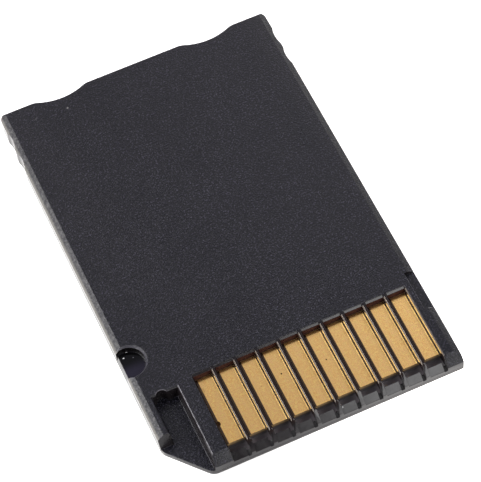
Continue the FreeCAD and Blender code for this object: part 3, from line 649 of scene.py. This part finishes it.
class MeshGroup(NodeTree):
    """A node group for a modifier, which takes a mesh and gives one."""

    def __init__(self, name):
        super().__init__(bpy.data.node_groups.new(name, "GeometryNodeTree"))
        for side in ("INPUT", "OUTPUT"):
            self.tree.interface.new_socket("Geometry", in_out=side, socket_type="NodeSocketGeometry")
        self.taken = self.add("NodeGroupInput").outputs[0]

    def give(self, mesh):
        self.add("NodeGroupOutput", {0: mesh})
        return self.tree


def plain_normals():
    """Drops the normals kept in a mesh, which don't hold once its edges are rounded."""
    group = MeshGroup("plain_normals")
    plain = group.add("GeometryNodeRemoveAttribute", {"Geometry": group.taken, "Name": "custom_normal"})
    return group.give(plain.outputs["Geometry"])


def keep_in_box():
    """Holds a mesh inside the CAD box, where the rounding of a corner overshoots."""
    group = MeshGroup("keep_in_box")
    low, high = cad_box
    place = group.add("GeometryNodeInputPosition").outputs[0]
    held = group.vectors("MINIMUM", group.vectors("MAXIMUM", place, low), high)
    moved = group.add("GeometryNodeSetPosition", {"Geometry": group.taken, "Position": held})
    return group.give(moved.outputs[0])


def shade_facets():
    """Shades the facets of a curved wall as one, and flat faces as they are."""
    group = MeshGroup("shade_facets")
    smooth = group.add("GeometryNodeSetShadeSmooth", {
        "Geometry": group.taken, "Shade Smooth": True,
    }, domain="FACE").outputs[0]
    angle = group.add("GeometryNodeInputMeshEdgeAngle").outputs["Unsigned Angle"]
    crisp = group.add("GeometryNodeSetShadeSmooth", {
        "Geometry": smooth, "Selection": group.maths("GREATER_THAN", angle, SMOOTH_ANGLE),
        "Shade Smooth": False,
    }, domain="EDGE").outputs[0]
    return group.give(crisp)


def use_group(node, group):
    node.modifiers.new(group.name, "NODES").node_group = group


def soften_housing():
    """Rounds the moulding's edges: welds the facets, joins flat ones and bevels the corners left."""
    plain = plain_normals()
    in_box = keep_in_box()
    shaded = shade_facets()
    for node in (nodes[name] for name in HOUSING):
        use_group(node, plain)
        weld = node.modifiers.new("weld", "WELD")
        weld.merge_threshold = WELD_REACH
        joined = node.modifiers.new("join_flat_facets", "DECIMATE")
        joined.decimate_type = "DISSOLVE"
        joined.angle_limit = FLAT_ANGLE
        rounded = node.modifiers.new("edge_round", "BEVEL")
        rounded.width = EDGE_ROUND
        rounded.segments = EDGE_STEPS
        rounded.limit_method = "ANGLE"
        rounded.angle_limit = EDGE_ANGLE
        rounded.use_clamp_overlap = False
        use_group(node, in_box)
        use_group(node, shaded)


# Floor

FLOOR_SIZE = 1.6
FLOOR_DROP = 0.01 * MM
FLOOR_COLOUR = (0.86, 0.86, 0.85)
FLOOR_COLOUR_LOW = (0.84, 0.84, 0.835)
FLOOR_CLOUD = (0.02, 2.0, 0.5)
FLOOR_ROUGHNESS = 0.8
FLOOR_GLOW_COLOUR = (1.0, 0.97, 0.93, 1.0)
FLOOR_GLOW = 0.5
FLOOR_GLOW_Y = (-14.8, -12.5)
FRONT_GLOW = (0.15, 1.8)
FRONT_GLOW_X = (-6.0, 10.0)


def pale_floor():
    """A pale sheet that lets light through from below, as on a product table. From below it is clear."""
    skin = Surface("pale_floor")
    front_glow = skin.ramp(skin.axes["X"], *FRONT_GLOW_X, *FRONT_GLOW)
    skin.dress(
        Base_Color=skin.blend(skin.noise(*FLOOR_CLOUD), FLOOR_COLOUR_LOW, FLOOR_COLOUR),
        Roughness=FLOOR_ROUGHNESS,
        Emission_Color=FLOOR_GLOW_COLOUR,
        Emission_Strength=skin.mix(skin.ramp(skin.axes["Y"], *FLOOR_GLOW_Y), front_glow, FLOOR_GLOW),
    )
    under = skin.add("ShaderNodeNewGeometry").outputs["Backfacing"]
    clear = skin.add("ShaderNodeBsdfTransparent").outputs[0]
    seen = skin.add("ShaderNodeMixShader", {0: under, 1: skin.shader.outputs[0], 2: clear}).outputs[0]
    skin.feed(skin.tree.nodes["Material Output"].inputs["Surface"], seen)
    return skin.material


def add_floor():
    half = FLOOR_SIZE / 2
    corners = [(-half, -half, 0), (half, -half, 0), (half, half, 0), (-half, half, 0)]
    mesh = bpy.data.meshes.new("floor")
    mesh.from_pydata(corners, [], [(0, 1, 2, 3)])
    mesh.materials.append(pale_floor())
    floor = bpy.data.objects.new("floor", mesh)
    floor.location.z = -FLOOR_DROP
    bpy.context.scene.collection.objects.link(floor)


# Light. The tent's limits are parts of a unit vector towards its wall.

FRONT_WALL = (1.0, 0.14)
FRONT_WALL_Z = (0.4, 0.5)
BACK_WALL = 1.05
BACK_WALL_Y = (-0.2, 0.2)
RIGHT_REAR_SHADE = 0.3
RIGHT_REAR_X = (0.4, 0.8)
RIGHT_REAR_Y = (-0.1, 0.3)
LEFT_LOW_SHADE = 0.25
LEFT_LOW_X = (-0.8, -0.5)
LEFT_LOW_Z = (0.18, 0.3)
TENT_TOP = 0.36
TENT_TOP_START = (0.66, 0.87)
TENT_TILT = 0.4
WARM_LIGHT = (1.0, 0.9, 0.86)
COOL_LIGHT = (0.96, 0.945, 1.12)
COOL_LIGHT_Z = (0.25, 0.65)

# Name, azimuth, elevation, distance, shift to the right, width, height and radiance
SOFTBOXES = [
    ("front_right", 0, 39.5, 0.45, 0.232, 0.3, 0.31, 8.4),
    ("left", -100, 37, 0.45, 0.0, 0.54, 0.24, 12.4),
    ("rear_left", -156, 59, 0.45, 0.0, 0.1, 0.1, 5.5),
    ("rear_right_fill", 135, 35, 0.1, 0.0, 0.06, 0.06, 1.9),
]


def add_tent():
    """A pale tent, brighter behind and dark overhead, with two corners in shade."""
    world = bpy.data.worlds.new("tent")
    world.use_nodes = True
    sky = NodeTree(world.node_tree)
    toward = sky.split(sky.add("ShaderNodeTexCoord").outputs["Generated"])
    front_wall = sky.ramp(toward["Z"], *FRONT_WALL_Z, *FRONT_WALL)
    wall = sky.mix(sky.ramp(toward["Y"], *BACK_WALL_Y), front_wall, BACK_WALL)
    right_rear = sky.product(sky.ramp(toward["X"], *RIGHT_REAR_X), sky.ramp(toward["Y"], *RIGHT_REAR_Y))
    left_low = sky.product(sky.fall(toward["X"], *LEFT_LOW_X), sky.fall(toward["Z"], *LEFT_LOW_Z))
    for corner, shade in ((right_rear, RIGHT_REAR_SHADE), (left_low, LEFT_LOW_SHADE)):
        wall = sky.product(wall, sky.ramp(corner, 0.0, 1.0, 1.0, shade))
    climb = sky.maths("SUBTRACT", toward["Z"], sky.product(toward["X"], TENT_TILT))
    background = sky.tree.nodes["Background"]
    sky.feed(background.inputs["Color"],
             sky.blend(sky.ramp(toward["Z"], *COOL_LIGHT_Z), WARM_LIGHT, COOL_LIGHT))
    sky.feed(background.inputs["Strength"], sky.mix(sky.ramp(climb, *TENT_TOP_START), wall, TENT_TOP))
    bpy.context.scene.world = world


def add_softboxes():
    """Softboxes that face the object, given by their brightness."""
    for name, azimuth, elevation, distance, shift, width, height, radiance in SOFTBOXES:
        data = bpy.data.lights.new(name, "AREA")
        data.shape = "RECTANGLE"
        data.size = width
        data.size_y = height
        data.energy = radiance * math.pi * width * height
        lamp = bpy.data.objects.new(name, data)
        back = direction(math.radians(azimuth), math.radians(elevation))
        sideways = direction(math.radians(azimuth + 90), 0)
        lamp.location = back * distance + sideways * shift
        lamp.rotation_mode = "QUATERNION"
        lamp.rotation_quaternion = back.to_track_quat("Z", "Y")
        lamp.visible_camera = False
        bpy.context.scene.collection.objects.link(lamp)


dress_nodes()
soften_housing()
add_floor()
add_tent()
add_softboxes()
add_camera()
bpy.context.scene.view_settings.view_transform = "Standard"
